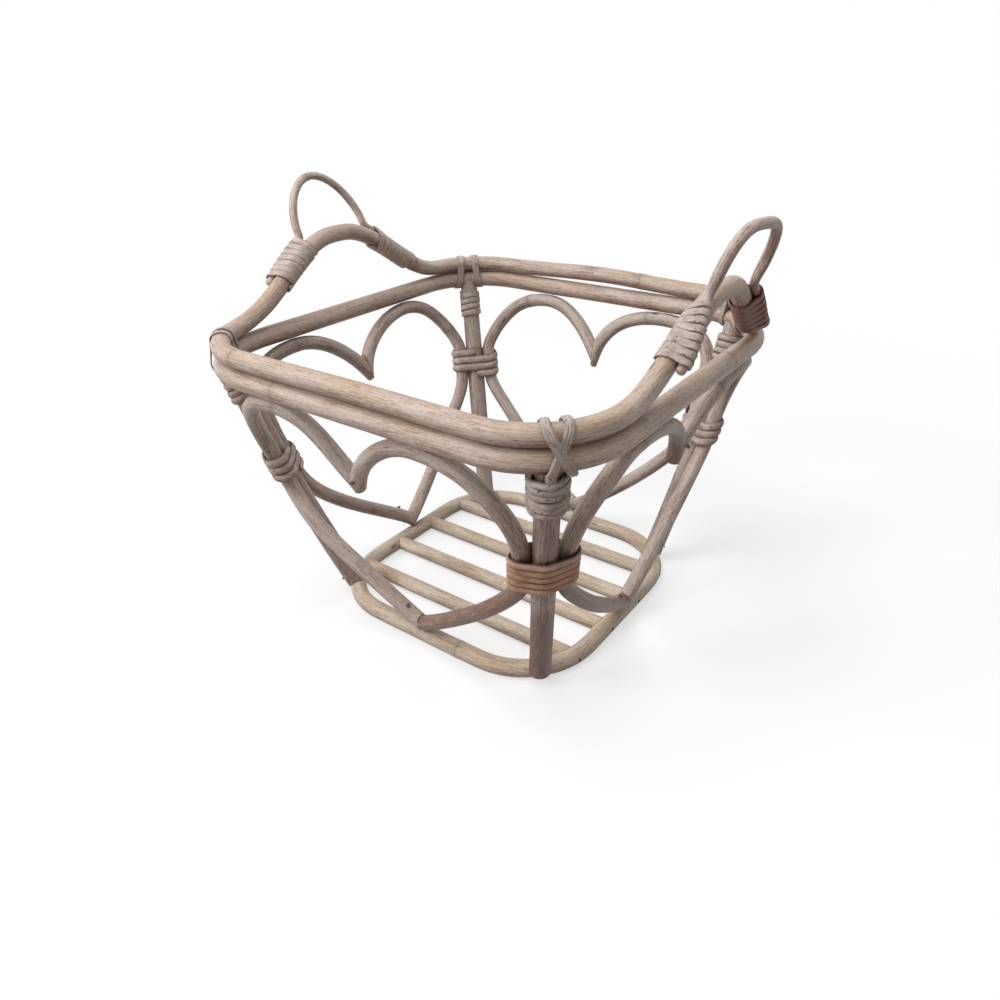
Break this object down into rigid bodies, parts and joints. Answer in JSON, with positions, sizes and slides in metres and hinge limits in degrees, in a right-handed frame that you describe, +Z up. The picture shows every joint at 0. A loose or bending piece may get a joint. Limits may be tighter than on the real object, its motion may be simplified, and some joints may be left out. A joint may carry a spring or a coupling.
{
  "type": "rattan basket",
  "caption": "Open rattan basket with a flaring frame, hearts of bent cane in its sides, a humped double rim and two thin handle loops",
  "frame": {"origin": "on the floor, under the middle of the base ring", "axes": "+X along the long sides from the left handle to the right one, +Y from the front long side to the back one, +Z up"},
  "size_m": [0.4077, 0.3414, 0.335],
  "materials": {
    "ring_cane": "yellowish beige rattan cane, dry, with fine lengthwise grain",
    "rim_cane": "whitewashed grey-beige rattan pole with worn orange-beige patches",
    "post_cane": "whitewashed grey rattan pole with dark specks",
    "heart_cane": "whitewashed grey-beige rattan cane with lengthwise streaks",
    "handle_cane": "thin pinkish beige rattan core, smooth",
    "grey_peel": "grey whitewashed rattan peel, dull and fibrous",
    "pink_peel": "pinkish brown rattan peel, slightly glossy",
    "nail_steel": "darkened wire nails"
  },
  "bodies": {
    "root": {"base_ring": "ring_cane", "base_slat_1": "ring_cane", "base_slat_2": "ring_cane", "base_slat_3": "ring_cane", "base_slat_4": "ring_cane", "corner_post_front_right": "post_cane", "corner_post_front_left": "post_cane", "corner_post_back_left": "post_cane", "corner_post_back_right": "post_cane", "lower_rim": "rim_cane", "upper_rim": "rim_cane", "heart_front_cane_left": "heart_cane", "heart_front_cane_right": "heart_cane", "heart_back_cane_left": "heart_cane", "heart_back_cane_right": "heart_cane", "heart_left_cane_front": "heart_cane", "heart_left_cane_back": "heart_cane", "heart_right_cane_front": "heart_cane", "heart_right_cane_back": "heart_cane", "handle_loop_left": "handle_cane", "handle_loop_right": "handle_cane", "corner_band_front_right": "pink_peel", "corner_band_front_left": "grey_peel", "corner_band_back_left": "grey_peel", "corner_band_back_right": "grey_peel", "post_wrap_front_right": "grey_peel", "post_wrap_front_left": "grey_peel", "post_wrap_back_left": "grey_peel", "post_wrap_back_right": "grey_peel", "rim_tie_front_right": "grey_peel", "rim_tie_front_left": "grey_peel", "rim_tie_back_left": "grey_peel", "rim_tie_back_right": "grey_peel", "handle_wrap_left_front": "grey_peel", "handle_wrap_left_back": "grey_peel", "handle_wrap_right_front": "grey_peel", "handle_wrap_right_back": "grey_peel", "slat_nail_1_left": "nail_steel", "slat_nail_1_right": "nail_steel", "slat_nail_2_left": "nail_steel", "slat_nail_2_right": "nail_steel", "slat_nail_3_left": "nail_steel", "slat_nail_3_right": "nail_steel", "slat_nail_4_left": "nail_steel", "slat_nail_4_right": "nail_steel", "foot_nail_front_right": "nail_steel", "foot_nail_front_left": "nail_steel", "foot_nail_back_left": "nail_steel", "foot_nail_back_right": "nail_steel", "heart_tip_nail_front": "nail_steel", "heart_tip_nail_back": "nail_steel", "heart_tip_nail_left": "nail_steel", "heart_tip_nail_right": "nail_steel", "heart_cusp_nail_front": "nail_steel", "heart_cusp_nail_back": "nail_steel", "heart_cusp_nail_left": "nail_steel", "heart_cusp_nail_right": "nail_steel"}
  },
  "joints": []
}
